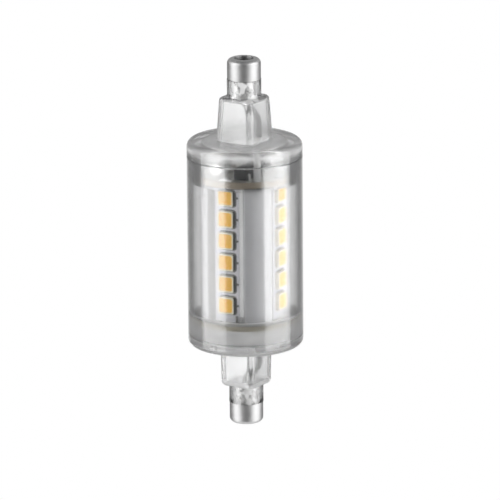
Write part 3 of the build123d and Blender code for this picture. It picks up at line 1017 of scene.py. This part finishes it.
rim_top = sink_low.z + rim_height
lower_end = end_rings(-body_bottom, -inner_floor, lower_foot_half, lower_end_half, lower_end_round)
housing_rings = [body_ring(body_radius - seam_break, housing_high.z)]
housing_rings += [body_ring(body_radius, housing_high.z - seam_break)]
housing_rings += body_bend(
    body_radius - lower_round, body_bottom + lower_round, lower_round, 0, -90, steps=12
)
housing_rings += at_end(lower_end, -1)
housing_rings += body_bend(
    seat_radius - floor_round, inner_floor + floor_round, floor_round, -90, 0, steps=6
)
housing_rings += [body_ring(seat_radius, sink_low.z), body_ring(rim_radius, sink_low.z)]
housing_rings += [body_ring(rim_radius, rim_top), body_ring(bore_radius, rim_top)]
housing_rings += [body_ring(bore_radius, housing_high.z - seam_break)]
housing_rings += [body_ring(bore_radius + seam_break, housing_high.z)]
housing = skin("tube_housing_moulding", housing_rings, closed=True)
housing.data.materials.append(clear_finish)
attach(housing, "root")
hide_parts("tube_housing")

# End cap: the second clear moulding, glued into the tube once everything is in. Its rim is flush with
# the tube, its spigot reaches down to the heat sink, and it carries the upper collar, neck and peg.
body_top = 21.7 * MM
glue_gap = 0.03 * MM
glue_break = 0.08 * MM
spigot_play = 0.1 * MM
spigot_radius = bore_radius - spigot_play
spigot_round = 0.2 * MM
cap_round = 1.3 * MM
roof_round = 0.5 * MM
upper_foot_half = 4.5 * MM
upper_end_half = 4.05 * MM
upper_end_round = 0.7 * MM
cap_seam = housing_high.z + glue_gap
cap_roof = body_top - end_plate
spigot_end = sink_high.z - rim_height

cap_rings = [body_ring(body_radius - seam_break, cap_seam)]
cap_rings += [body_ring(body_radius, cap_seam + seam_break)]
cap_rings += body_bend(body_radius - cap_round, body_top - cap_round, cap_round, 0, 90, steps=6)
cap_rings += end_rings(body_top, cap_roof, upper_foot_half, upper_end_half, upper_end_round)
cap_rings += body_bend(seat_radius - roof_round, cap_roof - roof_round, roof_round, 90, 0, steps=6)
cap_rings += [body_ring(seat_radius, sink_high.z), body_ring(rim_radius, sink_high.z)]
cap_rings += [body_ring(rim_radius, spigot_end)]
cap_rings += body_bend(
    spigot_radius - spigot_round, spigot_end + spigot_round, spigot_round, -90, 0, steps=4
)
cap_rings += [body_ring(spigot_radius, cap_seam - glue_break)]
cap_rings += [body_ring(spigot_radius + glue_break, cap_seam)]
cap = skin("end_cap_moulding", cap_rings, closed=True)
cap.data.materials.append(clear_finish)
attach(cap, "root")
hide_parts("end_cap")

# Studio: a pale floor well below the lamp, which hangs free, and white all round as the camera sees it.
# Two tall soft boxes stand to the left and right of the camera, with the dark of the room between them.
IMAGE_SIDE = 500
camera_turn = math.radians(28)
camera_rise = math.radians(15.4)
camera_roll = math.radians(-0.42)
camera_distance = 1.4
frame_width = 103.75 * MM
lamp_across = -4.7 / IMAGE_SIDE * frame_width
lamp_above = 9.5 / IMAGE_SIDE * frame_width
floor_level = -0.66
floor_radius = 1.0
box_distance = 0.7
box_height = 1.3

scene = bpy.context.scene
scene.view_settings.view_transform = "Standard"
across_frame = Vector((math.cos(camera_turn), math.sin(camera_turn), 0))
to_camera = Vector((
    math.sin(camera_turn) * math.cos(camera_rise),
    -math.cos(camera_turn) * math.cos(camera_rise),
    math.sin(camera_rise),
))
up_frame = across_frame.cross(-to_camera)
aim = -across_frame * lamp_across - up_frame * lamp_above
lens = bpy.data.cameras.new("camera")
lens.sensor_width = 36
lens.lens = lens.sensor_width * camera_distance / frame_width
lens.clip_start = 0.01
lens.clip_end = 20
camera = bpy.data.objects.new("camera", lens)
stand = Matrix((across_frame, up_frame, to_camera)).transposed() @ Matrix.Rotation(camera_roll, 3, "Z")
camera.matrix_world = Matrix.Translation(aim + to_camera * camera_distance) @ stand.to_4x4()
scene.collection.objects.link(camera)
scene.camera = camera


def ray(wire, fact):
    """What the Light Path node says of a ray."""
    return wire.make("ShaderNodeLightPath", output=fact)


floor_mesh = bpy.data.meshes.new("floor")
floor_cage = bmesh.new()
bmesh.ops.create_circle(floor_cage, cap_ends=True, segments=96, radius=floor_radius)
floor_cage.to_mesh(floor_mesh)
floor_cage.free()
floor_mesh.transform(Matrix.Translation((0, 0, floor_level)))
floor = bpy.data.objects.new("floor", floor_mesh)
scene.collection.objects.link(floor)
floor_finish, paper = new_finish("white_paper")
lit = paper.make("ShaderNodeBsdfDiffuse", {"Color": (0.85, 0.85, 0.85, 1)})
white = paper.make("ShaderNodeEmission", {"Color": (1, 1, 1, 1), "Strength": 1.0})
floor_look = paper.make("ShaderNodeMixShader", {0: ray(paper, "Is Camera Ray"), 1: lit, 2: white})
paper.make("ShaderNodeOutputMaterial", {"Surface": floor_look})
floor_mesh.materials.append(floor_finish)

# The room's light by direction: angles are from straight behind the lamp, and rises are sines. Rays that
# have gone through both walls of the plastic see the white behind it.
room_level = 0.08
side_level, side_angle, side_fade = 0.12, math.radians(80), math.radians(60)
back_level, back_angle, back_fade = 0.8, math.radians(18), math.radians(24)
band_rise, band_half, band_fade = -math.sin(camera_rise), 0.22, 0.2
upper_level, upper_rise, upper_fade = 0.3, 0.2, 0.3
upper_facing, facing_fade = 0.3, 0.6
through_level, through_angle, through_fade = 0.85, math.radians(60), math.radians(30)
through_walls = 3.5
steep_rise, steep_fade = 0.35, 0.2

room = bpy.data.worlds.new("room")
room.use_nodes = True
room.node_tree.nodes.clear()
scene.world = room
air = Wire(room.node_tree)
look = air.make("ShaderNodeTexCoord", output="Generated")
look_up = air.make("ShaderNodeSeparateXYZ", {"Vector": look}, output="Z")
look_and_back = {0: look, 1: -to_camera}
facing = air.make("ShaderNodeVectorMath", look_and_back, output="Value", operation="DOT_PRODUCT")
off_back = air.sum("ARCCOSINE", facing)
back_light = 1 - off_back.above(back_angle, back_fade)
side_light = 1 - off_back.above(side_angle, side_fade)
upper_light = look_up.above(upper_rise, upper_fade) * facing.above(upper_facing, facing_fade)
back_band = look_up.near(band_rise, band_half, band_fade)
white_back = back_light * back_band * back_level
room_light = room_level + side_light * side_level + white_back + upper_light * upper_level
passes = ray(air, "Transmission Depth").above(through_walls)
unbounced = 1 - (ray(air, "Glossy Depth") + ray(air, "Diffuse Depth")).above(0.5)
shallow = 1 - abs(look_up).above(steep_rise, steep_fade)
see_through = passes * unbounced * shallow * off_back.above(through_angle, through_fade)
room_light = air.sum("MAXIMUM", room_light, see_through * through_level)
room_grey = air.make("ShaderNodeCombineColor", {0: room_light, 1: room_light, 2: room_light})
room_colour = ray(air, "Is Camera Ray").blend(room_grey, (1, 1, 1, 1))
backdrop = air.make("ShaderNodeBackground", {"Color": room_colour, "Strength": 1.0})
air.make("ShaderNodeOutputWorld", {"Surface": backdrop})


def soft_box(name, turn, width, radiance):
    """Upright light that faces the lamp, at a turn in degrees from the camera's direction."""
    light = bpy.data.lights.new(name, "AREA")
    light.shape = "RECTANGLE"
    light.size = width
    light.size_y = box_height
    light.energy = radiance * math.pi * width * box_height
    angle = camera_turn + math.radians(turn)
    spot = Vector((math.sin(angle), -math.cos(angle), 0)) * box_distance
    box = bpy.data.objects.new(name, light)
    box.matrix_world = Matrix.Translation(spot) @ spot.to_track_quat("Z", "Y").to_matrix().to_4x4()
    scene.collection.objects.link(box)


soft_box("left_soft_box", turn=-69, width=0.74, radiance=3.5)
soft_box("right_soft_box", turn=69.5, width=0.82, radiance=3.6)

bpy.context.view_layer.update()
